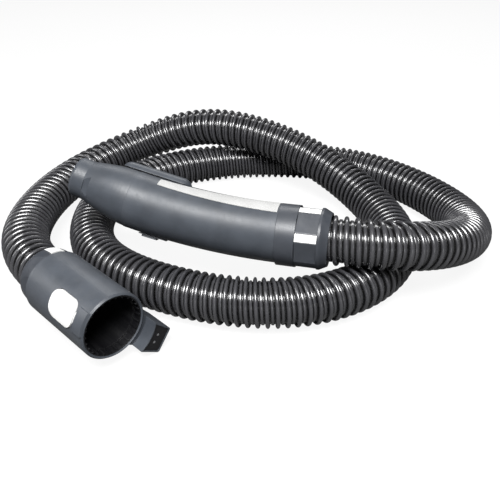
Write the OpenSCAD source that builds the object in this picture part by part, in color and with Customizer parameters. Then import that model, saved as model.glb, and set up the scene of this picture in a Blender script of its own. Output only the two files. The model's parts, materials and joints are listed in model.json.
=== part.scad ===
// Electrified suction hose of a household canister vacuum cleaner, coiled on the floor.
// One end is a cuff with a plug for the machine, the other a bent handle for the wand.
// Frame: +Z up, floor at z = 0, origin in the middle of the coil. Millimetres.

/* [Hose] */
// Outside diameter of the hose
hose_od = 44; // [43:0.5:44.5]
// Wall that stands in for the thin corrugated skin
hose_wall = 2; // [1.5:0.5:2.5]
// Sides of the hose's cross-section
hose_sides = 14; // [12:2:18]
// Rings in each stretch between two guide points
rings_per_stretch = 5; // [4:1:7]
// Length of each bending zone, where the hose flexes most
flex_len = 30; // [28:1:34]

/* [Handle] */
// Outside diameter of the grip
grip_od = 53; // [52:0.5:53.5]
// Outside diameter of the retaining nut and the collar beside it
band_od = 55; // [55:0.5:56]
// Distance from the hose's end to the start of the grip
grip_start = 45; // [45:1:47]
// Length of the grip, measured along its bend
grip_len = 139; // [130:1:145]
// How far the grip bends upwards
grip_bend = 14.8; // [12:0.2:15]
// Length of the tapered wand spigot
spigot_len = 57; // [55:1:60]
// How far the spigot tilts up from the grip's end
spigot_tilt = 4; // [0:1:5]
// Outside diameter of the spigot's end, which the wand slides onto
spigot_od = 37; // [36.5:0.5:38]
// Inside diameter of the air duct
duct_id = 33; // [32:0.5:33]
// Travel of the suction slider
slider_travel = 10; // [6:1:10]

/* [Machine cuff] */
// Outside diameter of the cuff
cuff_od = 57.4; // [57:0.2:58]
// Length of the cuff
cuff_len = 84; // [83:1:88]
// Diameter of the bore that the machine's inlet spigot enters
inlet_d = 48; // [47.5:0.1:48.2]
// Number of ribs around the mouth
rib_count = 26; // [20:1:30]
// Where the release button sits around the cuff, from the top
button_angle = 58; // [52:1:64]
// Where the plug sits around the cuff, from the top
plug_angle = -129; // [-131:1:-125]
// How far the plug stands out of the cuff's axis
plug_reach = 49; // [47:0.5:50]

/* [Hidden] */

$fn = 96;
eps = 0.05;
gap = 0.1;
hose_r = hose_od / 2;
hose_bore_r = hose_r - hose_wall;

// The hose's lay: x, y and lift of the centre line above a hose resting on the floor.
// The centre line is a uniform cubic B-spline guided by these points. The shift puts the origin
// on the floor below the middle of the whole piece.
lay_shift = [0.4, -11.2, -1.2];
cuff_at = lay_shift + [-165.4, -112.6, hose_r + 20.1];
cuff_yaw = 136;
cuff_pitch = 0.6;
cuff_lead = 85;
handle_at = lay_shift + [70, -86, hose_r + 45.8];
handle_yaw = 165.5;
handle_pitch = -1;
handle_lead = 70;
lay = [
    [-230, 120, 2], [-140, 205, 17], [-45, 180, 60], [75, 135, 32], [140, 60, 2], [155, -25, 2],
    [115, -90, 0], [30, -135, 7], [-77, -108, 5], [-160, -45, 2], [-175, 60, 2], [-130, 135, 2],
    [-55, 180, 0], [50, 185, 2], [145, 150, 7], [220, 70, 2], [235, -25, 7]
];

function heading(yaw, pitch) = [cos(yaw) * cos(pitch), sin(yaw) * cos(pitch), sin(pitch)];
cuff_dir = heading(cuff_yaw, cuff_pitch);
handle_dir = heading(handle_yaw, handle_pitch);
guides = concat(
    [cuff_at - cuff_lead * cuff_dir, cuff_at, cuff_at + cuff_lead * cuff_dir],
    [for (p = lay) lay_shift + [p.x, p.y, hose_r + p.z]],
    [handle_at - handle_lead * handle_dir, handle_at, handle_at + handle_lead * handle_dir]
);
stretches = len(guides) - 3;

function unit(v) = v / norm(v);
function stretch_at(u) = min(floor(u), stretches - 1);
function path_point(u) =
    let (i = stretch_at(u), t = u - i)
    (pow(1 - t, 3) * guides[i] + (3 * pow(t, 3) - 6 * t * t + 4) * guides[i + 1]
     + (-3 * pow(t, 3) + 3 * t * t + 3 * t + 1) * guides[i + 2] + pow(t, 3) * guides[i + 3]) / 6;
function path_dir(u) =
    let (i = stretch_at(u), t = u - i)
    unit(-pow(1 - t, 2) * guides[i] + (3 * t * t - 4 * t) * guides[i + 1]
         + (-3 * t * t + 2 * t + 1) * guides[i + 2] + t * t * guides[i + 3]);
function ring_at(u, r, past = 0) =
    let (d = path_dir(u), c = path_point(u) + past * d)
    let (side = unit(cross([0, 0, 1], d)), up = cross(d, side))
    [for (k = [0:hose_sides - 1]) let (a = 360 * k / hose_sides) c + r * (cos(a) * side + sin(a) * up)];

// Places along the hose, in stretches from the machine end
machine_pivot_u = 1.6;
handle_pivot_u = 18.4;
stretch_len = 92;
flex_half_u = flex_len / 2 / stretch_len;
hose_start_u = 0.076;
machine_flex_u = [machine_pivot_u - flex_half_u, machine_pivot_u + flex_half_u];
handle_flex_u = [handle_pivot_u - flex_half_u, handle_pivot_u + flex_half_u];
collar_seat = 14;

// A stretch of hose, which may run straight on past its end
module hose_piece(u0, u1, past = 0) {
    bends = max(2, ceil((u1 - u0) * rings_per_stretch));
    count = past > 0 ? bends + 1 : bends;
    us = [for (k = [0:bends]) u0 + (u1 - u0) * k / bends];
    function skin(r) = concat([for (u = us) each ring_at(u, r)], past > 0 ? ring_at(u1, r, past) : []);
    outer = skin(hose_r);
    inner = skin(hose_bore_r);
    n = hose_sides;
    shift = len(outer);
    faces = concat(
        [for (k = [0:count - 1], s = [0:n - 1])
            let (a = k * n + s, b = k * n + (s + 1) % n) each [[a, a + n, b], [b, a + n, b + n]]],
        [for (k = [0:count - 1], s = [0:n - 1])
            let (a = shift + k * n + s, b = shift + k * n + (s + 1) % n)
            each [[a, b, a + n], [b, b + n, a + n]]],
        [for (s = [0:n - 1]) let (t = (s + 1) % n) each [[s, t, shift + s], [t, shift + t, shift + s]]],
        [for (s = [0:n - 1])
            let (a = count * n + s, b = count * n + (s + 1) % n)
            each [[a, shift + a, b], [b, shift + a, shift + b]]]
    );
    polyhedron(points = concat(outer, inner), faces = faces, convexity = 6);
}

// ---- Frames -------------------------------------------------------------------------------

// Handle frame: origin at the hose's end, +X along the handle, +Z up
module at_handle() {
    translate(handle_at) rotate([0, -handle_pitch, handle_yaw]) children();
}

// Cuff frame: origin at the seam between collar and cuff, +X towards the mouth, +Z up
module at_cuff() {
    translate(cuff_at) rotate([0, cuff_pitch, cuff_yaw + 180]) children();
}

// A ring or tube about the X axis, from x0 to x1
module ring(x0, x1, r_out, r_in) {
    translate([x0, 0, 0]) rotate([0, 90, 0]) difference() {
        cylinder(h = x1 - x0, r = r_out);
        translate([0, 0, -1]) cylinder(h = x1 - x0 + 2, r = r_in);
    }
}

// A plain rod about the X axis
module rod(x0, x1, r) {
    translate([x0, 0, 0]) rotate([0, 90, 0]) cylinder(h = x1 - x0, r = r);
}

// A body of revolution about the X axis from [x, r] points
module turned(points) {
    rotate([0, 90, 0]) rotate([0, 0, 180]) rotate_extrude() polygon([for (p = points) [p[1], p[0]]]);
}

// A wedge about the X axis, centred on +Z, that cuts a ring down to a sector
module sector(x0, x1, r, half_angle) {
    translate([x0, 0, 0]) rotate([0, 90, 0]) rotate([0, 0, 180]) linear_extrude(x1 - x0)
        polygon([[0, 0], r * [cos(half_angle), -sin(half_angle)], [r * 1.4, -r * tan(half_angle / 2)],
                 [r * 1.4, r * tan(half_angle / 2)], r * [cos(half_angle), sin(half_angle)]]);
}

// ---- Swivel ends, shared by the handle and the cuff ----------------------------------------

barrel_in_r = 15.5;
barrel_r = 18.8;
// The barrel's fit in the faceted bore of the hose
barrel_hose_r = hose_bore_r * cos(180 / hose_sides) - 0.35;
barrel_overlap = 10;
slip_ring_r = 20;
swivel_flange_r = 24;
barrel_play = 0.8;
flange_t = 3;
seal_t = 1.8;
slip_ring_w = 3;
slip_ring_pitch = 6;
// Distances from the seam between collar and turning shell
flange_at = 4;
seal_at = 7;
slip_rings_at = 12;

// Fitting that the hose is bonded onto, with the flange the shell turns on
module hose_fitting(hose_end, seam_x, nose_x) {
    flange_x = seam_x + flange_at;
    tail_x = hose_end - barrel_overlap;
    turned([[tail_x, barrel_in_r], [tail_x, barrel_hose_r], [hose_end + gap, barrel_hose_r],
            [hose_end + gap, barrel_r], [flange_x, barrel_r], [flange_x, swivel_flange_r],
            [flange_x + flange_t, swivel_flange_r], [flange_x + flange_t, barrel_r], [nose_x, barrel_r],
            [nose_x, barrel_in_r]]);
}

// Two brass rings that carry the current across the swivel
module slip_rings(seam_x) {
    for (k = [0:1]) translate([seam_x + slip_rings_at + slip_ring_pitch * k, 0, 0])
        ring(0, slip_ring_w, slip_ring_r, barrel_r + eps);
}

// Seal that rubs on the flange's face
module swivel_seal(seam_x) {
    ring(seam_x + seal_at + eps, seam_x + seal_at + seal_t, swivel_flange_r - 0.2, barrel_r + eps);
}

// Two spring-backed blocks that ride on the slip rings
module brushes(seam_x, out_r, angle) {
    brush_w = 2.2;
    brush_len = 4;
    brush_gap = 0.15;
    first_x = seam_x + slip_rings_at + (slip_ring_w - brush_w) / 2;
    for (k = [0:1]) rotate([angle, 0, 0])
        translate([first_x + slip_ring_pitch * k, -brush_len / 2, slip_ring_r + brush_gap])
            cube([brush_w, brush_len, out_r - slip_ring_r - 2 * brush_gap]);
}

// Recesses or pads on a collar, at the given angles from the top
module pad_blocks(x0, x1, r, width, angles) {
    reach = 6;
    for (a = angles) rotate([a, 0, 0]) translate([x0, -width / 2, r]) cube([x1 - x0, width, reach]);
}

// Cuts that flatten a collar between its corners, the first one at the given angle
module collar_flats(x0, x1, r, first, step) {
    cut_w = 30;
    pad_blocks(x0, x1, r, cut_w, [for (k = [0:360 / step - 1]) first + step * k]);
}

// ---- Hose -----------------------------------------------------------------------------------

module hose_coil() { color("#2a2c30") hose_piece(machine_flex_u[1], handle_flex_u[0]); }
module hose_flex_handle() { color("#35373c") hose_piece(handle_flex_u[0], handle_flex_u[1]); }
module hose_flex_machine() { color("#35373c") hose_piece(machine_flex_u[0], machine_flex_u[1]); }
module hose_handle_lead() { color("#2a2c30") hose_piece(handle_flex_u[1], stretches, collar_seat); }
module hose_machine_lead() { color("#2a2c30") hose_piece(hose_start_u, machine_flex_u[0]); }

// ---- Handle end: parts that stay with the hose ----------------------------------------------

band_r = band_od / 2;
swivel_x = 28;
collar_pad_w = 7;
collar_pad_x = 9;
pad_depth = 1.4;
pad_angles = [-62, -2, 58];
flat_depth = 1.7;

// Collar at the hose's end, flattened between its corners
module handle_collar() {
    r = band_r - 0.3;
    bore_r = hose_r + 0.2;
    back_r = 23.6;
    cone_len = 7;
    web_x = swivel_x - 7;
    color("#4a4f57") at_handle() difference() {
        turned([[0, bore_r], [0, back_r], [cone_len, r], [swivel_x - gap, r],
                [swivel_x - gap, barrel_r + barrel_play], [web_x, barrel_r + barrel_play], [web_x, bore_r]]);
        collar_flats(collar_pad_x, swivel_x + 1, r - flat_depth, pad_angles[1] + 30, 60);
        pad_blocks(collar_pad_x, swivel_x + 1, band_r - pad_depth, collar_pad_w + 2 * gap, pad_angles);
    }
}
module handle_collar_pads() {
    color("#f2f2f0") at_handle() intersection() {
        pad_blocks(collar_pad_x + gap, swivel_x - 2 * gap, band_r - pad_depth + eps, collar_pad_w, pad_angles);
        rod(5, swivel_x + 2, band_r);
    }
}
module handle_hose_fitting() { color("#3a3e45") at_handle() hose_fitting(collar_seat, swivel_x, swivel_x + 24); }
module handle_slip_rings() { color("#c9a352") at_handle() slip_rings(swivel_x); }
module handle_swivel_seal() { color("#1c1c1c") at_handle() swivel_seal(swivel_x); }

// ---- Handle ---------------------------------------------------------------------------------

grip_r = grip_od / 2;
grip_wall = 2.4;
grip_bore_r = grip_r - grip_wall;
neck_x = swivel_x + 9.4;
neck_r = 24.6;
neck_play = 1.2;
neck_wall = 2.9;
neck_len = 8;
neck_bore_r = 20.6;
neck_lip = 1.6;
duct_r = duct_id / 2;
duct_wall = 1.8;
bend_r = grip_len / grip_bend * 180 / PI;
grip_rise = 1;
strip_len = 117;
strip_half_angle = 18.5;
strip_tip_w = 10;
strip_corner_r = 4;
strip_t = 0.6;
section_span = 80;
wire_angle = 4;
function bend_at(along) = along / bend_r * 180 / PI;

// Sweeps a 2D section upwards along the grip's bend. A section's -X side faces up.
module along_bend(a0 = 0, a1 = grip_bend) {
    translate([grip_start, 0, grip_rise + bend_r]) rotate([90, 90, 0]) rotate([0, 0, a0])
        rotate_extrude(angle = a1 - a0) translate([bend_r, 0]) children();
}

// Frame on the grip's bent axis, at a distance along it, +X along the grip
module at_grip(along) {
    a = bend_at(along);
    translate([grip_start + bend_r * sin(a), 0, grip_rise + bend_r * (1 - cos(a))])
        rotate([0, -a, 0]) children();
}

// Half of the grip's ring section; side is 1 for left and -1 for right
module half_section(side) {
    intersection() {
        difference() { circle(r = grip_r); circle(r = grip_bore_r); }
        translate([-section_span / 2, side > 0 ? -section_span - gap / 2 : gap / 2]) square(section_span);
    }
}

vent_at = 112;
vent_len = slider_travel + 6;
vent_w = 6;
slider_angle = -155;
connector_at = 125;
connector_angle = 42;
connector_r = 9;
connector_out = 24.3;
connector_half = 25;
connector_gap = 1.1;
screw_spacing = 24;
socket_out = 28.6;
socket_pitch = 6.4;
socket_depth = 8;
socket_out_len = 3;
socket_r = 1.6;
socket_bore_r = 1.1;
screw_r = 1.2;
screw_hole_r = 1.3;
screw_head_r = 2.7;
screw_head_at = 29.2;

module connector_screw_places() {
    at_grip(connector_at) rotate([connector_angle, 0, 0])
        for (k = [-0.5, 0.5]) translate([screw_spacing * k, 0, 0]) children();
}

// One half of the grip: a bent channel, with an air vent underneath
module grip_half(side) {
    difference() {
        along_bend() half_section(side);
        at_grip(vent_at) rotate([slider_angle, 0, 0])
            translate([-vent_len / 2, -vent_w / 2, 10]) cube([vent_len, vent_w, 20]);
        connector_screw_places() cylinder(h = 40, r = screw_hole_r, $fn = 24);
    }
}

// Threaded insert that joins the two halves at the hose's side and takes the retaining nut
module grip_neck() {
    color("#3a3e45") at_handle()
        turned([[neck_x, neck_bore_r], [neck_x, neck_r], [grip_start - gap, neck_r],
                [grip_start - gap, grip_bore_r - neck_play], [grip_start + neck_len, grip_bore_r - neck_play],
                [grip_start + neck_len, grip_bore_r - neck_wall],
                [neck_x + neck_lip, grip_bore_r - neck_wall], [neck_x + neck_lip, neck_bore_r]]);
}

module grip_shell_left() { color("#535860") at_handle() grip_half(1); }
module grip_shell_right() { color("#535860") at_handle() grip_half(-1); }

// Outline of the grip's pad seen from above, rounded towards the wand
module strip_outline() {
    root_y = grip_r * sin(strip_half_angle) + 0.5 - strip_corner_r;
    tip_y = strip_tip_w / 2 - strip_corner_r;
    tip_x = bend_r * sin(bend_at(strip_len)) - strip_corner_r;
    translate([grip_start, 0, 15]) linear_extrude(60) offset(r = strip_corner_r)
        polygon([[-10, -root_y], [tip_x, -tip_y], [tip_x, tip_y], [-10, root_y]]);
}

// Soft pad along the top of the grip
module grip_strip() {
    color("#e9e9e7") at_handle() intersection() {
        along_bend(bend_at(1), bend_at(strip_len)) intersection() {
            difference() { circle(r = grip_r + strip_t); circle(r = grip_r + eps); }
            polygon([[0, 0], [-section_span, section_span * tan(strip_half_angle)],
                     [-section_span, -section_span * tan(strip_half_angle)]]);
        }
        strip_outline();
    }
}

module air_duct() {
    color("#2b2d31") at_handle() along_bend(bend_at(neck_len)) difference() {
        circle(r = duct_r + duct_wall);
        circle(r = duct_r);
    }
}

latch_slot_angle = -73;
latch_slot_at = 37.8;
latch_slot_w = 6;
latch_slot_len = 19;
spigot_taper_len = 44.5;
spigot_root_r = grip_r - 0.4;
spigot_tip_r = spigot_od / 2;
spigot_steps = 12;
function spigot_r(x) = spigot_tip_r + (spigot_root_r - spigot_tip_r) * cos(90 * x / spigot_taper_len);

// Tapered tube on the grip's end that the wand slides onto, with a slot for the wand's catch
module wand_spigot() {
    root_x = -5;
    color("#535860") at_handle() at_grip(grip_len) difference() {
        rotate([0, -spigot_tilt, 0]) difference() {
            turned(concat([[root_x, duct_r], [root_x, spigot_root_r]],
                [for (k = [0:spigot_steps]) let (x = spigot_taper_len * k / spigot_steps) [x, spigot_r(x)]],
                [[spigot_len - 2.6, spigot_tip_r], [spigot_len - 1, spigot_tip_r - 0.5],
                 [spigot_len, spigot_tip_r - 1.4], [spigot_len, duct_r]]));
            rotate([latch_slot_angle, 0, 0])
                translate([latch_slot_at, -latch_slot_len / 2, spigot_r(latch_slot_at) - 2.4])
                    cube([latch_slot_w, latch_slot_len, 8]);
        }
        translate([-20, -50, -50]) cube([20 + gap, 100, 100]);
    }
}

// Half-round housing on the grip's far side, with sockets that face the wand
module connector_housing() {
    color("#5a5d63") at_handle() difference() {
        at_grip(connector_at) rotate([connector_angle, 0, 0]) translate([0, 0, connector_out]) {
            rod(-connector_half, connector_half, connector_r);
            for (k = [-1, 1]) translate([k * connector_half, 0, 0]) sphere(r = connector_r);
        }
        at_grip(connector_at) rod(-60, 60, grip_r + connector_gap);
        at_grip(connector_at) rotate([connector_angle, 0, 0]) for (k = [-1, 1])
            translate([0, socket_pitch / 2 * k, socket_out])
                rod(connector_half - socket_depth - 1, connector_half + 20, socket_r + 0.1);
        connector_screw_places() {
            cylinder(h = 40, r = screw_r + 0.3, $fn = 24);
            translate([0, 0, screw_head_at - 0.2]) cylinder(h = 20, r = screw_head_r + 0.2, $fn = 24);
        }
    }
}
module connector_sockets() {
    color("#c9a352") at_handle() at_grip(connector_at) rotate([connector_angle, 0, 0]) for (k = [-1, 1])
        translate([0, socket_pitch / 2 * k, socket_out])
            ring(connector_half - socket_depth, connector_half + socket_out_len, socket_r, socket_bore_r);
}
module connector_screws() {
    color("#b9bcc0") at_handle() connector_screw_places() {
        translate([0, 0, grip_r - 2]) cylinder(h = 6, r = screw_r, $fn = 24);
        translate([0, 0, screw_head_at]) cylinder(h = 1.6, r = screw_head_r, $fn = 24);
    }
}
module handle_brushes() {
    brush_angle = 40;
    color("#7a7d80") at_handle() brushes(swivel_x, grip_bore_r - neck_wall, brush_angle);
}
module handle_wires() {
    wire_out = 21;
    wire_r = 0.8;
    color("#8c1f1f") at_handle() for (k = [-1, 1])
        along_bend(bend_at(neck_len + 1), bend_at(connector_at)) rotate(wire_angle * k - connector_angle)
            translate([-wire_out, 0]) circle(r = wire_r, $fn = 20);
}

// Slider that uncovers an air vent under the grip
module suction_slider() {
    plate_half = 13;
    plate_half_angle = 15;
    ridge_x0 = -4;
    ridge_x1 = 10;
    ridge_half_angle = 12;
    stem_x = 2.6;
    stem_w = 5;
    stem_from = 22.2;
    color("#5d6269") at_handle() at_grip(vent_at) rotate([slider_angle, 0, 0]) {
        intersection() {
            ring(-plate_half, plate_half, grip_r + 1.2, grip_r + 0.25);
            sector(-plate_half, plate_half, 40, plate_half_angle);
        }
        intersection() {
            ring(ridge_x0, ridge_x1, grip_r + 3, grip_r + 1);
            sector(ridge_x0, ridge_x1, 40, ridge_half_angle);
        }
        translate([stem_x, -stem_w / 2, stem_from]) cube([stem_w, stem_w, grip_r + 0.6 - stem_from]);
    }
}

module handle_retaining_nut() {
    bore_r = 20.2;
    web_x = swivel_x + flange_at - 0.2;
    seat_x = neck_x - 0.2;
    flange_play = 0.4;
    color("#484c54") at_handle()
        turned([[swivel_x + gap, bore_r], [swivel_x + gap, band_r], [grip_start - gap, band_r],
                [grip_start - gap, neck_r + gap], [seat_x, neck_r + gap],
                [seat_x, swivel_flange_r + flange_play], [web_x, swivel_flange_r + flange_play],
                [web_x, bore_r]]);
}

// ---- Machine end: parts that stay with the hose ---------------------------------------------

machine_seat = -6;
machine_collar_len = 16;
machine_collar_bore_r = hose_r + 1.4;
machine_collar_cone = 3;
machine_pad_w = 12;
machine_pad_angle = -17;
machine_pad_len = 12;
machine_pad_r = 24.4;
machine_pad_end = -2.4;
cuff_r = cuff_od / 2;
rim_drop = 0.9;

// Collar at the hose's end, flattened between its eight corners
module machine_collar() {
    back_r = 24.6;
    cone_end_r = 26;
    cone_x = machine_collar_cone - machine_collar_len;
    flats_x = cone_x + 0.6;
    color("#4a4f57") at_cuff() difference() {
        turned([[-machine_collar_len, machine_collar_bore_r], [-machine_collar_len, back_r],
                [cone_x, cone_end_r], [-gap, cuff_r - rim_drop], [-gap, barrel_r + barrel_play],
                [machine_seat + gap, barrel_r + barrel_play], [machine_seat + gap, machine_collar_bore_r]]);
        collar_flats(flats_x, 1, cuff_r - rim_drop - flat_depth, machine_pad_angle, 45);
        pad_blocks(machine_pad_end - machine_pad_len, machine_pad_end, machine_pad_r,
            machine_pad_w + 2 * gap, [machine_pad_angle]);
    }
}
module machine_collar_pads() {
    x0 = machine_pad_end - machine_pad_len + gap;
    back_x = 1 - machine_collar_len;
    color("#f2f2f0") at_cuff() intersection() {
        pad_blocks(x0, machine_pad_end - gap, machine_pad_r + eps, machine_pad_w, [machine_pad_angle]);
        turned([[back_x, 0], [back_x, 25.6], [back_x + 2, 26.5], [-1, cuff_r - 0.6], [-1, 0]]);
    }
}
module machine_hose_fitting() { color("#3a3e45") at_cuff() hose_fitting(machine_seat, 0, 26); }
module machine_slip_rings() { color("#c9a352") at_cuff() slip_rings(0); }
module machine_swivel_seal() { color("#1c1c1c") at_cuff() swivel_seal(0); }

// ---- Machine cuff ---------------------------------------------------------------------------

inlet_r = inlet_d / 2;
liner_r = cuff_r - 2.5;
cavity_r = 24.4;
// Stations along the cuff: the swivel cavity's end wall, the seal, the bore and the ribs at the mouth
wall_x0 = 24.6;
wall_x1 = 26.4;
wall_bore_r = 19.4;
seal_x = 31;
liner_x0 = 34.6;
mouth_x = cuff_len - 9;
button_x = 53;
button_len = 32;
button_half_angle = 24;
button_corner_r = 8;
button_back_r = 26.9;
pin_x = button_x + button_len / 2 + 3.5;
pin_at = 26.3;
pin_r = 0.9;
lever_x0 = pin_x - 6;
lever_x1 = pin_x + 9;
hook_len = 3;
lever_half_angle = 9;

// A rounded pad outline wrapped on the cuff, seen from outside, with the given margin
module pad_outline(margin) {
    w = 2 * cuff_r * sin(button_half_angle) + 2 * (margin - button_corner_r);
    l = button_len + 2 * (margin - button_corner_r);
    translate([button_x, 0, 0]) linear_extrude(40) offset(r = button_corner_r) square([l, w], center = true);
}

// Space for the lever, its hook and its pin between the liner and the cuff's skin
module lever_pocket(extra) {
    intersection() {
        ring(lever_x0 - 2, lever_x1 + 0.7 + extra, cuff_r + 0.6, 20);
        sector(lever_x0 - 2, lever_x1 + 0.7 + extra, 40, lever_half_angle + 1 + extra);
    }
}

// Raised rib over the lever, ahead of the button
module lever_cover() {
    x0 = button_x + button_len / 2 + 0.8;
    end_x = cuff_len - 0.6;
    intersection() {
        turned([[x0, 0], [x0, cuff_r - 0.5], [x0 + 2, cuff_r + 1.3], [cuff_len - 1.7, cuff_r + 1.3],
                [end_x, cuff_r - 0.6], [end_x, 0]]);
        difference() {
            sector(x0 - 1, cuff_len, 40, button_half_angle - 4);
            rod(x0 - 2, cuff_len + 1, liner_r + 0.3);
        }
    }
}

plug_x0 = cuff_len - 39;
plug_x1 = cuff_len + 11;
plug_pocket_x = cuff_len - 9;
plug_root_w = 27;
plug_tip_w = 23;
plug_screw_x = cuff_len - 23;
plug_screw_y = 8;
plug_pin_at = 39;
plug_pin_y = 3.4;
plug_pin_r = 1.2;
plug_under_r = cuff_r + 3.2;
wire_end_x = cuff_len - 14;

// The two screws that hold the plug and its two contacts, placed in the plug's frame
module plug_screw_places() {
    for (k = [-1, 1]) translate([plug_screw_x, plug_screw_y * k, 0]) children();
}
module plug_pin_places() {
    for (k = [-1, 1]) translate([0, plug_pin_y * k, plug_pin_at]) children();
}

// The cuff's shell has a groove for the retaining ring and a web behind the swivel's flange
module machine_cuff() {
    ring_seat_r = 26.1;
    ring_seat_x = 3.9;
    web_x0 = flange_at + flange_t + seal_t + 0.4;
    web_x1 = web_x0 + 2;
    web_bore_r = 20.4;
    edge = 0.9;
    color("#565b63") at_cuff() difference() {
        union() {
            turned([[gap, ring_seat_r], [gap, cuff_r - edge], [edge, cuff_r], [cuff_len - 1.5, cuff_r],
                    [cuff_len, cuff_r - 1.2], [cuff_len, liner_r + edge], [cuff_len - edge, liner_r],
                    [seal_x, liner_r], [seal_x, duct_r], [wall_x1, duct_r], [wall_x1, wall_bore_r],
                    [wall_x0, wall_bore_r], [wall_x0, cavity_r], [web_x1, cavity_r], [web_x1, web_bore_r],
                    [web_x0, web_bore_r], [web_x0, cavity_r], [ring_seat_x, cavity_r],
                    [ring_seat_x, ring_seat_r]]);
            rotate([button_angle, 0, 0]) lever_cover();
        }
        rotate([button_angle, 0, 0]) {
            pad_outline(0.4);
            lever_pocket(0);
            translate([pin_x, 7, pin_at]) rotate([90, 0, 0]) cylinder(h = 14, r = pin_r + 0.03);
        }
        rotate([plug_angle, 0, 0]) {
            translate([wire_end_x - 2, -6, 20]) cube([6, 12, 12]);
            for (k = [-1, 1]) rotate([wire_angle * k, 0, 0]) translate([0, 0, 25]) rod(20, 42, 0.8);
            plug_screw_places() translate([0, 0, 20]) cylinder(h = 12, r = screw_hole_r, $fn = 24);
        }
    }
}

// Black sleeve with the bore for the machine's inlet, ribbed at the mouth
module inlet_liner() {
    out = liner_r - gap / 2;
    front_x = cuff_len - 1;
    rib_w = 1.2;
    rib_depth = 1.4;
    rib_x = mouth_x - 0.5;
    groove_w = 6.4;
    groove_x = liner_x0 - 6;
    color("#17181a") at_cuff() difference() {
        union() {
            turned([[liner_x0, inlet_r], [liner_x0, out], [front_x, out], [front_x, inlet_r + rib_depth],
                    [mouth_x + 0.7, inlet_r + rib_depth], [mouth_x, inlet_r]]);
            for (k = [0:rib_count - 1]) rotate([360 * k / rib_count, 0, 0]) intersection() {
                translate([rib_x, -rib_w / 2, inlet_r - 1])
                    cube([front_x - rib_x - 0.4, rib_w, rib_depth + 1.2]);
                ring(rib_x - 1, front_x + 1, out, inlet_r);
            }
        }
        rotate([button_angle, 0, 0]) {
            lever_pocket(0.4);
            translate([pin_x, 7, pin_at]) rotate([90, 0, 0]) cylinder(h = 14, r = pin_r + 0.1);
            difference() {
                pad_outline(1);
                rod(seal_x, cuff_len, inlet_r + 0.9);
            }
        }
        rotate([plug_angle, 0, 0]) translate([groove_x, -groove_w / 2, inlet_r + 0.6])
            cube([wire_end_x + 4 - groove_x, groove_w, 5]);
    }
}
module inlet_seal() { color("#101010") at_cuff() ring(seal_x + eps, liner_x0 - eps, liner_r - 1.6, duct_r); }
module cuff_retaining_ring() { color("#3a3e45") at_cuff() ring(gap, flange_at - 0.2, 26, barrel_r + 1.2); }

// Radial section of the plug: an arch over the cuff, slightly narrower at the outside
module plug_section(margin) {
    corner_r = 2;
    y0 = plug_root_w / 2 - margin - corner_r;
    y1 = plug_tip_w / 2 - margin - corner_r;
    r1 = plug_reach - margin - corner_r;
    offset(r = corner_r) polygon([[25, -y0], [r1, -y1], [r1, y1], [25, y0]]);
}

module plug_prism(x0, x1, margin) {
    translate([x0, 0, 0]) rotate([0, 90, 0]) rotate([0, 0, 180]) linear_extrude(x1 - x0)
        plug_section(margin);
}

// Housing of the plug that carries the current from the machine
module plug_housing() {
    rim = 1.1;
    slope = 34;
    color("#4b5058") at_cuff() rotate([plug_angle, 0, 0]) difference() {
        plug_prism(plug_x0, plug_x1, 0);
        rod(plug_x0 - 6, cuff_len + 1, cuff_r + eps);
        rod(cuff_len - 1, plug_x1 + 1, plug_under_r);
        translate([plug_x0 - 4, -20, 29.5]) rotate([0, -slope, 0]) translate([-20, 0, 0]) cube([80, 40, 40]);
        difference() {
            plug_prism(plug_pocket_x, plug_x1 + 1, rim);
            rod(plug_pocket_x - 6, plug_x1 + 2, plug_under_r + rim);
        }
        translate([wire_end_x - 1, -5, 20]) cube([8, 10, plug_pin_at + 3 - 20]);
        plug_screw_places() translate([0, 0, 20]) cylinder(h = 30, r = 1.5, $fn = 24);
    }
}
module plug_insulator() {
    rim = 1.25;
    color("#0e0f11") at_cuff() rotate([plug_angle, 0, 0]) difference() {
        plug_prism(plug_pocket_x + 2.2, plug_x1 - 0.6, rim);
        rod(plug_pocket_x - 6, plug_x1 + 2, plug_under_r + rim);
        plug_pin_places() rod(plug_pocket_x - 6, plug_x1 + 4, plug_pin_r + 0.05);
    }
}
module plug_pins() {
    color("#e4e4e0") at_cuff() rotate([plug_angle, 0, 0])
        plug_pin_places() rod(plug_pocket_x - 1.5, plug_x1 - 0.8, plug_pin_r);
}
module plug_screws() {
    color("#b9bcc0") at_cuff() rotate([plug_angle, 0, 0])
        plug_screw_places() translate([0, 0, liner_r + 0.4]) cylinder(h = 9, r = screw_r, $fn = 24);
}
module machine_brushes() { color("#7a7d80") at_cuff() brushes(0, cavity_r, plug_angle); }
module machine_wires() {
    color("#8c1f1f") at_cuff() rotate([plug_angle, 0, 0]) for (k = [-1, 1]) {
        rotate([wire_angle * k, 0, 0]) translate([0, 0, 25.25]) rod(21, wire_end_x, 0.5);
        translate([wire_end_x, 1.8 * k, 25.8]) cylinder(h = 9, r = 0.5, $fn = 20);
    }
}

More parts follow.
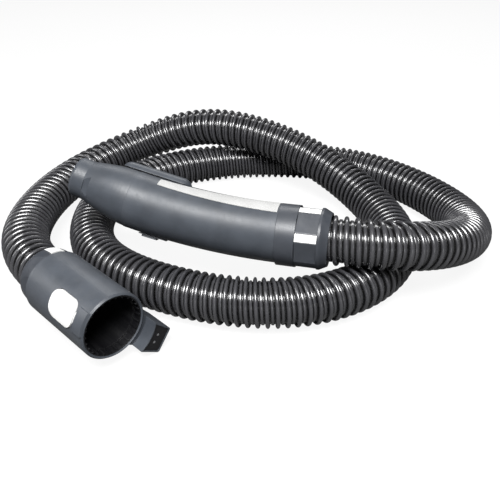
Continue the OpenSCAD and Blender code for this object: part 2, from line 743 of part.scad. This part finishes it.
// White pad with a lever arm and a hook, which pivots on the button pin
module release_button() {
    color("#f4f4f2") at_cuff() rotate([button_angle, 0, 0]) difference() {
        union() {
            intersection() {
                ring(button_x - button_len, button_x + button_len, cuff_r + 0.9, button_back_r);
                pad_outline(0);
            }
            intersection() {
                ring(lever_x0, lever_x1, button_back_r + 0.9, button_back_r - 0.4);
                sector(lever_x0, lever_x1, 40, lever_half_angle);
            }
            translate([pin_x, 3.6, pin_at]) rotate([90, 0, 0]) cylinder(h = 7.2, r = 1.75);
            intersection() {
                ring(lever_x1 - hook_len, lever_x1, 27, inlet_r + 0.1);
                sector(lever_x1 - hook_len, lever_x1, 40, lever_half_angle);
            }
        }
        translate([pin_x, 8, pin_at]) rotate([90, 0, 0]) cylinder(h = 16, r = pin_r + 0.05);
    }
}
module button_pin() {
    color("#c8cacc") at_cuff() rotate([button_angle, 0, 0])
        translate([pin_x, 6, pin_at]) rotate([90, 0, 0]) cylinder(h = 12, r = pin_r);
}

// Leaf spring that pushes the pad out
module button_spring() {
    x0 = button_x - 10;
    span = 14;
    rise = 1.5;
    t = 0.25;
    base = inlet_r + 1;
    steps = 12;
    function arc_z(k) = base + rise * sin(180 * k / steps);
    color("#c8cacc") at_cuff() rotate([button_angle, 0, 0]) translate([0, 2.5, 0]) rotate([90, 0, 0])
        linear_extrude(5) polygon(concat(
            [for (k = [0:steps]) [x0 + span * k / steps, arc_z(k)]],
            [for (k = [steps:-1:0]) [x0 + span * k / steps, t + arc_z(k)]]));
}

hose_coil();
hose_flex_handle();
hose_flex_machine();
hose_handle_lead();
hose_machine_lead();
handle_collar();
handle_collar_pads();
handle_hose_fitting();
handle_slip_rings();
handle_swivel_seal();
handle_retaining_nut();
grip_shell_left();
grip_shell_right();
grip_strip();
grip_neck();
air_duct();
wand_spigot();
connector_housing();
connector_sockets();
connector_screws();
handle_brushes();
handle_wires();
suction_slider();
machine_collar();
machine_collar_pads();
machine_hose_fitting();
machine_slip_rings();
machine_swivel_seal();
cuff_retaining_ring();
machine_cuff();
inlet_liner();
inlet_seal();
plug_housing();
plug_insulator();
plug_pins();
plug_screws();
machine_brushes();
machine_wires();
release_button();
button_spring();
button_pin();
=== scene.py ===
"""Looks of the coiled vacuum hose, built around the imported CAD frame. Metres, +Z up."""
import json
import math

import bmesh
import bpy
import numpy as np
from mathutils import Matrix, Vector


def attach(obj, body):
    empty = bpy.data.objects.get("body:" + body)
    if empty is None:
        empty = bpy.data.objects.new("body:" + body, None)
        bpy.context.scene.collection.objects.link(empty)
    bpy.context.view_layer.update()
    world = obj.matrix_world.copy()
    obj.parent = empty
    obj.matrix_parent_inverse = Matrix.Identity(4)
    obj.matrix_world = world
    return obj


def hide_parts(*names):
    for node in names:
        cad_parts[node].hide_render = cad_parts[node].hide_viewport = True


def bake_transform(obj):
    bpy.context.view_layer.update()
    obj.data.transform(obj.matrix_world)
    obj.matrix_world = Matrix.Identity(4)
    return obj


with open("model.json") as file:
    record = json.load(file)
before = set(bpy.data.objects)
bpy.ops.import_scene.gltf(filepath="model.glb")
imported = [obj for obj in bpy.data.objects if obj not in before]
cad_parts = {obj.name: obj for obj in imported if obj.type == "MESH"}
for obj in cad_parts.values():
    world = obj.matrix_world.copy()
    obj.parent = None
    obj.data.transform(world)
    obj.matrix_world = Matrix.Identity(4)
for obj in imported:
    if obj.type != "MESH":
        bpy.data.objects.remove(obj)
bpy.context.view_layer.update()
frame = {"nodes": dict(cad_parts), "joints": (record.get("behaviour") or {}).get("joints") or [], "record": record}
MM = 0.001
UP = Vector((0, 0, 1))
JOINTS = {j["name"]: j for j in frame["joints"]}
NODES = frame["nodes"]


# ---- Frames ------------------------------------------------------------------------------------

def upright_frame(origin, x_axis):
    """A frame with +X along x_axis and +Z as near to up as it can be, in millimetres."""
    x = Vector(x_axis).normalized()
    y = UP.cross(x).normalized()
    z = x.cross(y)
    m = Matrix((x, y, z)).transposed().to_4x4()
    m.translation = Vector(origin)
    return m @ Matrix.Scale(MM, 4)


CUFF = upright_frame(JOINTS["machine_swivel"]["pos_m"], JOINTS["machine_swivel"]["axis"])


# ---- Mesh helpers ------------------------------------------------------------------------------

WELD = 2e-7
DEGENERATE = 1e-7


def make(name, verts, faces, groove=None):
    """A smooth mesh object from metre vertices, with a value of painted shade per vertex if it has grooves."""
    mesh = bpy.data.meshes.new(name)
    mesh.from_pydata([tuple(v) for v in verts], [], [tuple(f) for f in faces])
    if groove is not None:
        mesh.attributes.new("groove", "FLOAT", "POINT").data.foreach_set("value", groove)
    bm = bmesh.new()
    bm.from_mesh(mesh)
    bmesh.ops.remove_doubles(bm, verts=bm.verts, dist=WELD)
    bmesh.ops.dissolve_degenerate(bm, edges=bm.edges, dist=DEGENERATE)
    bmesh.ops.recalc_face_normals(bm, faces=bm.faces)
    bm.to_mesh(mesh)
    bm.free()
    mesh.shade_smooth()
    ob = bpy.data.objects.new(name, mesh)
    bpy.context.scene.collection.objects.link(ob)
    return ob


# ---- Hose centre line, read from the frame's tubes ---------------------------------------------

HOSE_NODES = ["hose_machine_lead", "hose_flex_machine", "hose_coil", "hose_flex_handle", "hose_handle_lead"]
# Points in a ring of the frame's tubes, and where the first ring lies on the cuff's axis in mm
RING_POINTS = 28
HOSE_START_X = -6
SAME_POINT = 2e-5
GRID_STEP = 1 * MM
FINER = 4


def ring_centres():
    """Centres of the tube's rings, from the machine end to the handle end, summed in a fixed order."""
    bm = bmesh.new()
    for name in HOSE_NODES:
        bm.from_mesh(NODES[name].data)
    bmesh.ops.remove_doubles(bm, verts=bm.verts, dist=SAME_POINT)
    bm.verts.index_update()
    start = CUFF @ Vector((HOSE_START_X, 0, 0))
    seeds = sorted(bm.verts, key=lambda v: (v.co - start).length)[:RING_POINTS]
    level, seen, centres = set(seeds), set(seeds), []
    while level:
        ring = sorted(level, key=lambda v: v.index)
        centres.append(np.mean([tuple(v.co) for v in ring], axis=0))
        level = {e.other_vert(v) for v in level for e in v.link_edges} - seen
        seen |= level
    bm.free()
    return np.array(centres)


def natural_spline(points, step):
    """Points every step along a natural cubic spline through the given points, with tangents."""
    chord = np.linalg.norm(np.diff(points, axis=0), axis=1)
    t = np.concatenate([[0], np.cumsum(chord)])
    n = len(t)
    h = np.diff(t)
    a = np.zeros((n, n))
    b = np.zeros((n, 3))
    a[0, 0] = a[-1, -1] = 1
    for i in range(1, n - 1):
        a[i, i - 1], a[i, i], a[i, i + 1] = h[i - 1], 2 * (h[i - 1] + h[i]), h[i]
        b[i] = 6 * ((points[i + 1] - points[i]) / h[i] - (points[i] - points[i - 1]) / h[i - 1])
    m = np.linalg.solve(a, b)
    u = np.linspace(0, t[-1], int(t[-1] / (step / FINER)) + 1)
    i = np.clip(np.searchsorted(t, u, side="right") - 1, 0, n - 2)
    hi, d0, d1 = h[i][:, None], (t[i + 1] - u)[:, None], (u - t[i])[:, None]
    p = (m[i] * d0 ** 3 + m[i + 1] * d1 ** 3) / (6 * hi)
    p += (points[i] / hi - m[i] * hi / 6) * d0 + (points[i + 1] / hi - m[i + 1] * hi / 6) * d1
    s = np.concatenate([[0], np.cumsum(np.linalg.norm(np.diff(p, axis=0), axis=1))])
    grid = np.arange(0, s[-1], step)
    q = np.stack([np.interp(grid, s, p[:, k]) for k in range(3)], axis=1)
    d = np.gradient(q, axis=0)
    return grid, q, d / np.linalg.norm(d, axis=1)[:, None]


S_GRID, S_POINT, S_DIR = natural_spline(ring_centres(), GRID_STEP)
HOSE_LENGTH = float(S_GRID[-1])


def hose_at(s):
    """Centre, sideways and upward directions of the hose at arc lengths s."""
    c = np.stack([np.interp(s, S_GRID, S_POINT[:, k]) for k in range(3)], axis=-1)
    d = np.stack([np.interp(s, S_GRID, S_DIR[:, k]) for k in range(3)], axis=-1)
    d /= np.linalg.norm(d, axis=-1, keepdims=True)
    side = np.cross(np.array(UP), d)
    side /= np.linalg.norm(side, axis=-1, keepdims=True)
    return c, side, np.cross(d, side)


def nearest_s(point):
    """Arc length of the centre line's point nearest to a point in metres."""
    return float(S_GRID[np.argmin(np.linalg.norm(S_POINT - np.array(point), axis=1))])


# ---- Corrugated hose ----------------------------------------------------------------------------

CREST_R = 22.0 * MM
AROUND = 48
SPARE_TURNS = 2
# The ribs open and close along the lay: [share of the length, pitch in mm]
RIB_PITCH = [(0.0, 8.2), (0.05, 8.8), (0.1, 9.6), (0.18, 9.8), (0.24, 8.2), (0.33, 7.0),
             (0.38, 7.3), (0.43, 8.4), (0.49, 7.7), (0.56, 7.7), (0.61, 6.8), (0.66, 8.0),
             (0.74, 8.4), (0.79, 7.8), (0.84, 6.9), (0.9, 7.0), (0.94, 8.8), (1.0, 9.8)]
PITCH_BLUR = 60
# One rib: [share of the pitch, depth below the crest in mm, painted shade darkening the grooves]; a bead, a
# groove, a low web, a groove
DEPTH, PAINTED_SHADE = 1, 2
BEAD = [(0.0, 0.0, 0.0), (0.07, 0.12, 0.0), (0.13, 0.5, 0.0), (0.18, 1.1, 0.1), (0.215, 1.9, 0.4),
        (0.24, 3.0, 0.85), (0.265, 4.1, 1.0), (0.315, 4.2, 1.0), (0.345, 3.45, 0.7), (0.38, 3.15, 0.1),
        (0.5, 3.0, 0.0), (0.62, 3.15, 0.1), (0.655, 3.45, 0.7), (0.685, 4.2, 1.0), (0.735, 4.1, 1.0),
        (0.76, 3.0, 0.85), (0.785, 1.9, 0.4), (0.82, 1.1, 0.1), (0.87, 0.5, 0.0), (0.93, 0.12, 0.0)]
_pitch = np.interp(S_GRID / HOSE_LENGTH, [v[0] for v in RIB_PITCH], [v[1] for v in RIB_PITCH]) * MM
_window = 2 * PITCH_BLUR + 1
_pitch = np.convolve(np.pad(_pitch, PITCH_BLUR, mode="edge"), np.ones(_window) / _window, "valid")
S_TURN = np.concatenate([[0], np.cumsum(np.diff(S_GRID) / ((_pitch[1:] + _pitch[:-1]) / 2))])


def rib_at(turn, column):
    """The DEPTH in mm or the painted groove shade at a turn of the helix."""
    return np.interp(turn % 1.0, [b[0] for b in BEAD] + [1.0], [b[column] for b in BEAD] + [BEAD[0][column]])


def hose_mesh(name, s0, s1):
    """A stretch of the helically ribbed skin; rows of vertices follow the helix."""
    turn0 = math.floor(np.interp(s0, S_GRID, S_TURN)) - SPARE_TURNS
    turns = math.ceil(np.interp(s1, S_GRID, S_TURN)) - turn0 + SPARE_TURNS
    rows = turns * len(BEAD)
    row_turn = np.array([turn0 + k + b[0] for k in range(turns) for b in BEAD])
    col = np.arange(AROUND) / AROUND
    turn = row_turn[:, None] + col[None, :]
    low, high = turn < np.interp(s0, S_GRID, S_TURN), turn > np.interp(s1, S_GRID, S_TURN)
    s = np.clip(np.interp(turn, S_TURN, S_GRID), s0, s1)
    phase = np.interp(s, S_GRID, S_TURN) - col[None, :]
    r = CREST_R - rib_at(phase, DEPTH) * MM
    c, side, up = hose_at(s.ravel())
    angle = np.tile(col * 2 * math.pi, rows)
    ring = r.ravel()[:, None] * (np.cos(angle)[:, None] * side + np.sin(angle)[:, None] * up)
    verts = c + ring
    faces = []
    for i in range(rows - 1):
        for j in range(AROUND):
            j2, i2 = (j + 1, i) if j + 1 < AROUND else (0, i + len(BEAD))
            if i2 + 1 >= rows:
                continue
            quad = ((i, j), (i2, j2), (i2 + 1, j2), (i + 1, j))
            if all(low[q] for q in quad) or all(high[q] for q in quad):
                continue
            faces.append([q[0] * AROUND + q[1] for q in quad])
    # The grooves carry a painted shade, up to black towards their bottoms
    return make(name, verts, faces, groove=rib_at(phase, PAINTED_SHADE).ravel())


# ---- Shader nodes -------------------------------------------------------------------------------

def noise(tree, scale, detail=4.0, stretch=None):
    """Noise in object space, stretched along the axes if asked."""
    place = tree.nodes.new("ShaderNodeTexCoord").outputs["Object"]
    if stretch:
        mapping = tree.nodes.new("ShaderNodeMapping")
        mapping.inputs["Scale"].default_value = stretch
        tree.links.new(place, mapping.inputs["Vector"])
        place = mapping.outputs["Vector"]
    tex = tree.nodes.new("ShaderNodeTexNoise")
    tex.inputs["Scale"].default_value = scale
    tex.inputs["Detail"].default_value = detail
    tree.links.new(place, tex.inputs["Vector"])
    return tex.outputs["Fac"]


def ranged(tree, value, lo, hi, out_lo, out_hi):
    """A value carried from one range to another and kept inside it."""
    node = tree.nodes.new("ShaderNodeMapRange")
    for key, v in zip(("From Min", "From Max", "To Min", "To Max"), (lo, hi, out_lo, out_hi)):
        node.inputs[key].default_value = v
    tree.links.new(value, node.inputs["Value"])
    return node.outputs["Result"]


def mix(tree, fac, a, b):
    """Two colours mixed by a factor; each is a plain colour or another node's output."""
    node = tree.nodes.new("ShaderNodeMix")
    node.data_type = "RGBA"
    tree.links.new(fac, node.inputs[0])
    for key, v in ((6, a), (7, b)):
        if isinstance(v, tuple):
            node.inputs[key].default_value = (*v, 1)
        else:
            tree.links.new(v, node.inputs[key])
    return node.outputs[2]


def combine(tree, operation, a, b):
    """The sum, product or minimum of two values."""
    node = tree.nodes.new("ShaderNodeMath")
    node.operation = operation
    tree.links.new(a, node.inputs[0])
    tree.links.new(b, node.inputs[1])
    return node.outputs[0]


# ---- Materials ----------------------------------------------------------------------------------

MOTTLE_SCALE = 60.0
DUST_SCALE = 140.0
SMEAR_SCALE, SMEAR = 35.0, 0.05
SCRATCH_SCALE, SCRATCH = 25.0, 0.1
SCRATCH_STRETCH = (40.0, 4.0, 12.0)
GRAIN_SCALE = 900.0
KNURL_SCALE = 160.0
KNURL_ANGLES = (0.7, -0.9)
KNURL_SHADE = 0.25
# The painted shade in the grooves is at full strength from this value of the mesh's groove attribute up
GROOVE_SHADE_FULL = 0.6
COAT_ROUGH = 0.15
BEVEL_SAMPLES = 4
BLACK = (0.001, 0.001, 0.001)
DUST_COLOUR = (0.35, 0.34, 0.33)


def dust_cover(tree, normal, amount):
    """Dust in patches, only where the surface faces up."""
    parts = tree.nodes.new("ShaderNodeSeparateXYZ")
    tree.links.new(normal, parts.inputs[0])
    facing = ranged(tree, parts.outputs["Z"], 0.3, 1.0, 0.0, 1.0)
    patches = ranged(tree, noise(tree, DUST_SCALE), 0.45, 0.75, 0.0, amount)
    return combine(tree, "MULTIPLY", facing, patches)


def base_colour(tree, base, mottle, wear, groove, dust):
    """The mottled colour, lighter on rubbed edges, with painted black shade in the grooves, with dust on top."""
    dark = tuple(c * (1 - mottle) for c in base)
    light = tuple(min(1.0, c * (1 + mottle)) for c in base)
    worn = tuple(min(1.0, c * 1.5 + 0.04) for c in base)
    surface = tree.nodes.new("ShaderNodeNewGeometry")
    colour = mix(tree, ranged(tree, noise(tree, MOTTLE_SCALE), 0.35, 0.65, 0.0, 1.0), dark, light)
    colour = mix(tree, ranged(tree, surface.outputs["Pointiness"], 0.52, 0.60, 0.0, wear), colour, worn)
    # Painted shade: the colour in the grooves is mixed towards black by the mesh's groove attribute
    if groove:
        groove_shade_map = tree.nodes.new("ShaderNodeAttribute")
        groove_shade_map.attribute_name = "groove"
        colour = mix(tree, ranged(tree, groove_shade_map.outputs["Fac"], 0.0, GROOVE_SHADE_FULL, 0.0, groove), colour, BLACK)
    if dust:
        colour = mix(tree, dust_cover(tree, surface.outputs["Normal"], dust), colour, DUST_COLOUR)
    return colour


def roughness(tree, rough):
    """Uneven roughness with faint scratches."""
    smears = ranged(tree, noise(tree, SMEAR_SCALE), 0.3, 0.7, rough - SMEAR, rough + SMEAR)
    scratches = ranged(tree, noise(tree, SCRATCH_SCALE, 2.0, SCRATCH_STRETCH), 0.5, 0.8, 0.0, SCRATCH)
    return combine(tree, "ADD", smears, scratches)


def diamond_ridges(tree):
    """The height of two crossed sets of fine ridges."""
    ridges = []
    for turn in KNURL_ANGLES:
        mapping = tree.nodes.new("ShaderNodeMapping")
        mapping.inputs["Rotation"].default_value = (0.0, 0.0, turn)
        place = tree.nodes.new("ShaderNodeTexCoord").outputs["Object"]
        tree.links.new(place, mapping.inputs["Vector"])
        wave = tree.nodes.new("ShaderNodeTexWave")
        wave.inputs["Scale"].default_value = KNURL_SCALE
        tree.links.new(mapping.outputs["Vector"], wave.inputs["Vector"])
        ridges.append(wave.outputs["Fac"])
    return combine(tree, "MINIMUM", *ridges)


def relief(tree, height, depth, bevel):
    """Surface normals from a height map of the given depth, over edges softened by the bevel."""
    bump = tree.nodes.new("ShaderNodeBump")
    bump.inputs["Strength"].default_value = 1.0
    bump.inputs["Distance"].default_value = depth * MM
    tree.links.new(height, bump.inputs["Height"])
    if bevel:
        soft = tree.nodes.new("ShaderNodeBevel")
        soft.samples = BEVEL_SAMPLES
        soft.inputs["Radius"].default_value = bevel * MM
        tree.links.new(soft.outputs["Normal"], bump.inputs["Normal"])
    return bump.outputs["Normal"]


def material(name, base, rough=0.4, metal=0.0, mottle=0.12, grain=0.03, wear=0.15, coat=0.0, spec=0.5,
             dust=0.0, bevel=0.5, groove=0.0, knurl=0.0):
    """Plastic, rubber or metal. Grain, bevel and knurl are in millimetres, the rest are shares; groove sets how
    dark the painted shade in the grooves gets.
    """
    m = bpy.data.materials.new(name)
    m.use_nodes = True
    tree = m.node_tree
    colour = base_colour(tree, base, mottle, wear, groove, dust)
    if knurl:
        height = diamond_ridges(tree)
        shade = ranged(tree, height, 0.0, 0.6, KNURL_SHADE, 0.0)
        colour = mix(tree, shade, colour, tuple(c * 0.5 for c in base))
    else:
        height = noise(tree, GRAIN_SCALE, 2.0)
    bsdf = tree.nodes["Principled BSDF"]
    tree.links.new(colour, bsdf.inputs["Base Color"])
    tree.links.new(roughness(tree, rough), bsdf.inputs["Roughness"])
    tree.links.new(relief(tree, height, knurl or grain, bevel), bsdf.inputs["Normal"])
    bsdf.inputs["Metallic"].default_value = metal
    bsdf.inputs["Specular IOR Level"].default_value = spec
    bsdf.inputs["Coat Weight"].default_value = coat
    bsdf.inputs["Coat Roughness"].default_value = COAT_ROUGH
    return m


MAT = {
    # The hose gets painted shade in its grooves, nearly black at full depth
    "hose_black": material("hose_black", (0.040, 0.040, 0.044), rough=0.24, grain=0.008, wear=0.03,
                           spec=0.9, coat=0.5, dust=0.02, bevel=0, groove=0.95),
    "slate_grey": material("slate_grey", (0.043, 0.049, 0.059), rough=0.43, grain=0.02, dust=0.03),
    "collar_grey": material("collar_grey", (0.032, 0.036, 0.044), rough=0.38, grain=0.02, dust=0.03),
    "white_plastic": material("white_plastic", (0.70, 0.70, 0.69), rough=0.38, grain=0.01, mottle=0.03,
                              wear=0.0),
    "grip_white": material("grip_white", (0.42, 0.42, 0.415), rough=0.62, mottle=0.05, wear=0.0, knurl=0.3),
    "black_plastic": material("black_plastic", (0.003, 0.003, 0.004), rough=0.5, spec=0.3, grain=0.03),
    "brass": material("brass", (0.78, 0.57, 0.25), rough=0.28, metal=1.0, grain=0.01),
    "steel": material("steel", (0.62, 0.63, 0.65), rough=0.25, metal=1.0, grain=0.01, wear=0.0),
    "rubber_black": material("rubber_black", (0.018, 0.018, 0.018), rough=0.75, grain=0.05),
    "wire_red": material("wire_red", (0.30, 0.02, 0.02), rough=0.5, grain=0.01),
}


def dress(ob, slot_name):
    """Give an object one of the materials and its slot."""
    ob.data.materials.clear()
    ob.data.materials.append(MAT[slot_name])
    return ob


SLOT = {s["node"]: s["material_slot"] for s in frame["record"]["subparts"]}
for node_name, node_ob in NODES.items():
    node_ob.data.materials.clear()
    node_ob.data.materials.append(MAT[SLOT[node_name]])


# ---- Hose pieces ---------------------------------------------------------------------------------

BEND_HALF = 45 * MM
BEND_REACH = 70 * MM
END_GAP = 2 * MM
s_machine = nearest_s(JOINTS["machine_end_lift"]["pos_m"])
s_handle = nearest_s(JOINTS["handle_lift"]["pos_m"])
cuts = [END_GAP, s_machine - BEND_REACH, s_machine + BEND_REACH,
        s_handle - BEND_REACH, s_handle + BEND_REACH, HOSE_LENGTH - END_GAP]
HOSE_SKINS = [("hose_skin_machine_lead", "hose_machine_lead", "machine_lead"),
              ("hose_skin_machine_bend", "hose_flex_machine", None),
              ("hose_skin_coil", "hose_coil", "hose_coil"),
              ("hose_skin_handle_bend", "hose_flex_handle", None),
              ("hose_skin_handle_lead", "hose_handle_lead", "handle_lead")]
BENDS = {"hose_skin_machine_bend": ("machine_lead", "hose_coil", s_machine),
         "hose_skin_handle_bend": ("hose_coil", "handle_lead", s_handle)}
for k, (label, cad, body) in enumerate(HOSE_SKINS):
    ob = dress(hose_mesh(label, cuts[k], cuts[k + 1]), "hose_black")
    if body:
        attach(ob, body)
    else:
        before, after, s_mid = BENDS[label]
        tuple(hose_at(s_mid - BEND_HALF)[0])
        tuple(hose_at(s_mid + BEND_HALF)[0])
        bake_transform(ob)
    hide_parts(cad)


# ---- Stage, lights and camera --------------------------------------------------------------------

FLOOR_SIZE = 6.0
FLOOR_CELLS = 24
FLOOR_Z = -0.4 * MM
FLOOR_SHADE = (0.90, 0.93)
FLOOR_BOUNCE = 0.12
FLOOR_GLOW = 0.9


def mix_shader(tree, a, b):
    """Two shaders mixed; returns the mixing node, whose factor is still to be set."""
    node = tree.nodes.new("ShaderNodeMixShader")
    tree.links.new(a.outputs[0], node.inputs[1])
    tree.links.new(b.outputs[0], node.inputs[2])
    return node


def floor_material():
    """Mostly a glow to the camera, and a dull grey to every other ray."""
    m = bpy.data.materials.new("floor_white")
    m.use_nodes = True
    tree = m.node_tree
    white = tree.nodes["Principled BSDF"]
    tex = tree.nodes.new("ShaderNodeTexNoise")
    tex.inputs["Scale"].default_value = 3.0
    shade = ranged(tree, tex.outputs["Fac"], 0.0, 1.0, *FLOOR_SHADE)
    grey = tree.nodes.new("ShaderNodeCombineColor")
    for channel in grey.inputs:
        tree.links.new(shade, channel)
    tree.links.new(grey.outputs["Color"], white.inputs["Base Color"])
    white.inputs["Roughness"].default_value = 0.8
    white.inputs["Specular IOR Level"].default_value = 0.1
    glow = tree.nodes.new("ShaderNodeEmission")
    glow.inputs["Strength"].default_value = 1.0
    dull = tree.nodes.new("ShaderNodeBsdfDiffuse")
    dull.inputs["Color"].default_value = (FLOOR_BOUNCE, FLOOR_BOUNCE, FLOOR_BOUNCE, 1)
    seen = mix_shader(tree, white, glow)
    seen.inputs[0].default_value = FLOOR_GLOW
    either = mix_shader(tree, dull, seen)
    rays = tree.nodes.new("ShaderNodeLightPath")
    tree.links.new(rays.outputs["Is Camera Ray"], either.inputs[0])
    tree.links.new(either.outputs[0], tree.nodes["Material Output"].inputs["Surface"])
    return m


def floor():
    """A square floor just under the object."""
    row = FLOOR_CELLS + 1
    verts = [(FLOOR_SIZE * (i / FLOOR_CELLS - 0.5), FLOOR_SIZE * (j / FLOOR_CELLS - 0.5), FLOOR_Z)
             for j in range(row) for i in range(row)]
    faces = [(j * row + i, j * row + i + 1, (j + 1) * row + i + 1, (j + 1) * row + i)
             for j in range(FLOOR_CELLS) for i in range(FLOOR_CELLS)]
    ob = make("floor", verts, faces)
    ob.data.materials.append(floor_material())


def area_light(name, at, aim, size, power):
    """A white rectangular light at a place, aimed at a point; size in metres, power in watts."""
    data = bpy.data.lights.new(name, "AREA")
    data.shape = "RECTANGLE"
    data.size, data.size_y = size
    data.energy = power
    ob = bpy.data.objects.new(name, data)
    ob.location = at
    ob.rotation_mode = "QUATERNION"
    ob.rotation_quaternion = (Vector(aim) - Vector(at)).to_track_quat("-Z", "Y")
    bpy.context.scene.collection.objects.link(ob)


floor()
# Name, place, aim, width and height, power
area_light("key", (-0.1, -0.8, 1.25), (0, -0.05, 0.03), (0.8, 0.45), 44)
area_light("low", (0.4, -1.7, 0.3), (0, 0, 0.05), (0.9, 0.4), 1.5)
area_light("back", (0.1, 1.1, 1.0), (0, 0, 0.05), (1.2, 0.25), 8)
area_light("side", (-1.3, -0.1, 0.7), (0, 0, 0.03), (0.5, 0.6), 5)

WORLD_LIGHT, WORLD_SEEN = 0.08, 1.0
world = bpy.data.worlds.new("world")
bpy.context.scene.world = world
world.use_nodes = True
sky = world.node_tree.nodes["Background"]
sky.inputs[0].default_value = (1, 1, 1, 1)
sky_rays = world.node_tree.nodes.new("ShaderNodeLightPath")
sky_level = ranged(world.node_tree, sky_rays.outputs["Is Camera Ray"], 0.0, 1.0, WORLD_LIGHT, WORLD_SEEN)
world.node_tree.links.new(sky_level, sky.inputs[1])
bpy.context.scene.view_settings.view_transform = "Standard"

# The camera's place is given from the layout's origin, which is found back from the handle's swivel
LENS, SENSOR = 42.3, 36
CLIP = (0.02, 30)
HANDLE_IN_LAYOUT = Vector((70, -86, 67.8))
SWIVEL_X = 28.0
CAMERA_AT = Vector((0, -520.8, 337.3))
CAMERA_LOOK = Vector((0, 520.8, -335.3))
swivel = JOINTS["handle_swivel"]
anchor = Vector(swivel["pos_m"]) - HANDLE_IN_LAYOUT * MM - Vector(swivel["axis"]) * SWIVEL_X * MM
cam_data = bpy.data.cameras.new("camera")
cam_data.sensor_width = SENSOR
cam_data.lens = LENS
cam_data.clip_start, cam_data.clip_end = CLIP
cam = bpy.data.objects.new("camera", cam_data)
bpy.context.scene.collection.objects.link(cam)
cam.location = CAMERA_AT * MM + anchor
cam.rotation_mode = "QUATERNION"
cam.rotation_quaternion = CAMERA_LOOK.to_track_quat("-Z", "Y")
bpy.context.scene.camera = cam
